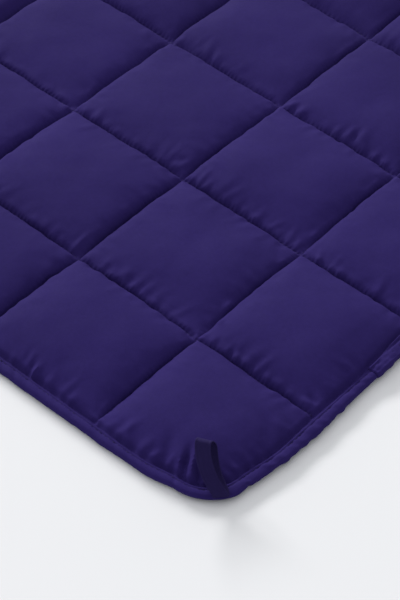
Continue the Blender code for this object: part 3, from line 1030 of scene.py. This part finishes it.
# The tape in section: folded edges thicker than its middle. Columns: across, as a share of half the
# width, and half the thickness.
TAPE_FACE = (
    (-1.00, 0.00012),
    (-0.97, 0.00040),
    (-0.88, 0.00050),
    (-0.76, 0.00044),
    (-0.70, 0.00030),
    (-0.62, 0.00038),
    (-0.30, 0.00036),
    (0.00, 0.00035),
    (0.30, 0.00036),
    (0.62, 0.00038),
    (0.70, 0.00030),
    (0.76, 0.00044),
    (0.88, 0.00050),
    (0.97, 0.00040),
    (1.00, 0.00012),
)


def smooth_line(rows, steps):
    """Points on a closed Catmull-Rom curve through the rows."""
    points = [Vector(row) for row in rows]
    count = len(points)
    line = []
    for number in range(count):
        before, start, end, after = (points[(number + shift) % count] for shift in (-1, 0, 1, 2))
        for step in range(steps):
            t = step / steps
            bend = (2 * before - 5 * start + 4 * end - after) * t * t
            twist = (3 * start - before - 3 * end + after) * t**3
            line.append(0.5 * (2 * start + (end - before) * t + bend + twist))
    return line


def add_corner_loop(corner, side_x, side_y, material):
    """A band of narrow tape that stands up from the corner and leans over the blanket."""
    sideways = Vector((math.cos(LOOP_YAW), math.sin(LOOP_YAW), 0))
    inward = Vector((-sideways.y, sideways.x, 0))
    foot = Vector((LOOP_FOOT[0] - HALF_X, LOOP_FOOT[1] - HALF_Y, 0))
    line = smooth_line(LOOP_LINE, LOOP_STEPS)
    upper = [(across, half) for across, half in TAPE_FACE]
    lower = [(across, -half) for across, half in reversed(TAPE_FACE)]
    sections = []
    for number, point in enumerate(line):
        ahead = line[(number + 1) % len(line)] - line[number - 1]
        face = Vector((-ahead.z, ahead.x)).normalized()
        climb = float(eased((point.z - LOOP_TWIST_FROM) / (LOOP_TWIST_TO - LOOP_TWIST_FROM)))
        yaw = LOOP_YAW + between(LOOP_TWIST, climb)
        width = Vector((math.cos(yaw), math.sin(yaw), 0))
        section = []
        for across, out in upper + lower:
            spot = foot + (point.x + out * face.x) * inward
            spot += point.y * sideways + across * TAPE_WIDTH / 2 * width
            spot.z = point.z + out * face.y
            section.append((side_x * spot.x, side_y * spot.y, spot.z))
        sections.append(section)
    return add_loft("tape_loop_" + corner, np.array(sections), material)


# ---------------------------------------------------------------- surroundings


def add_camera():
    """Stands where the photo was taken from."""
    crossing = Vector((SQUARE + EDGE_REACH - HALF_X, SQUARE + EDGE_REACH - HALF_Y, SEAM_TOP))
    camera = bpy.data.cameras.new("camera")
    camera.sensor_width = CAMERA_SENSOR
    camera.lens = CAMERA_LENS
    camera.clip_end = CAMERA_FAR
    holder = bpy.data.objects.new("camera", camera)
    turn = Matrix.Rotation(CAMERA_AZIMUTH - math.pi / 2, 4, "Z")
    turn @= Matrix.Rotation(math.pi / 2 - CAMERA_DOWN, 4, "X")
    turn @= Matrix.Rotation(CAMERA_ROLL, 4, "Z")
    holder.matrix_world = Matrix.Translation(crossing + CAMERA_OFFSET) @ turn
    bpy.context.scene.collection.objects.link(holder)
    bpy.context.scene.camera = holder


def add_light():
    window = bpy.data.lights.new("window", "AREA")
    window.shape = "RECTANGLE"
    window.size = WINDOW_WIDTH
    window.size_y = WINDOW_HEIGHT
    window.energy = WINDOW_POWER
    window.color = WINDOW_COLOUR
    holder = bpy.data.objects.new("window", window)
    flat = math.cos(WINDOW_ELEVATION)
    toward = Vector((flat * math.cos(WINDOW_AZIMUTH), flat * math.sin(WINDOW_AZIMUTH), 0))
    toward.z = math.sin(WINDOW_ELEVATION)
    holder.location = WINDOW_DISTANCE * toward
    holder.rotation_euler = (-toward).to_track_quat("-Z", "Y").to_euler()
    holder.visible_camera = False
    bpy.context.scene.collection.objects.link(holder)

    world = bpy.data.worlds.new("studio")
    world.use_nodes = True
    tree = world.node_tree
    sky = tree.nodes["Background"]
    sky.inputs["Color"].default_value = (*SKY_COLOUR, 1.0)
    direction = tree.nodes.new("ShaderNodeTexCoord")
    lean = tree.nodes.new("ShaderNodeVectorMath")
    lean.operation = "DOT_PRODUCT"
    lean.inputs[1].default_value = (math.cos(WINDOW_AZIMUTH), math.sin(WINDOW_AZIMUTH), 0.0)
    strength = tree.nodes.new("ShaderNodeMath")
    strength.operation = "MULTIPLY_ADD"
    strength.inputs[1].default_value = SKY_STRENGTH * SKY_LEAN
    strength.inputs[2].default_value = SKY_STRENGTH
    tree.links.new(direction.outputs["Generated"], lean.inputs[0])
    tree.links.new(lean.outputs["Value"], strength.inputs[0])
    tree.links.new(strength.outputs[0], sky.inputs["Strength"])
    bpy.context.scene.world = world
    bpy.context.scene.view_settings.view_transform = "Standard"


def add_floor():
    half = FLOOR_SIZE / 2
    corners = [(-half, -half, 0), (half, -half, 0), (half, half, 0), (-half, half, 0)]
    floor = new_object("floor", corners, [(0, 1, 2, 3)], floor_material())


def main():
    add_camera()
    add_light()
    add_floor()
    quilt_cloth = cloth_material("quilted_microfibre", CLOTH_DEEP, CLOTH_PALE, seams=True)
    binding_cloth = cloth_material("binding_microfibre", CLOTH_DEEP, CLOTH_PALE)
    tape_cloth = cloth_material("loop_tape_weave", TAPE_DEEP, TAPE_PALE)
    thread = thread_material("sewing_thread")

    body = add_quilted_body(quilt_cloth)
    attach(body, "root")
    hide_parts("quilted_body")

    quilting = quilting_stitches(thread)
    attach(quilting, "root")

    sections, way, place, normal, lap = binding_sections(binding_stations())
    binding = add_loft("folded_binding", sections, binding_cloth)
    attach(binding, "root")
    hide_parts("edge_binding")
    topstitch = binding_stitches(way, place, normal, lap, thread)
    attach(topstitch, "root")

    for corner, side_x, side_y in CORNERS:
        loop = add_corner_loop(corner, side_x, side_y, tape_cloth)
        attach(loop, "root")
        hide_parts("corner_loop_" + corner)


main()
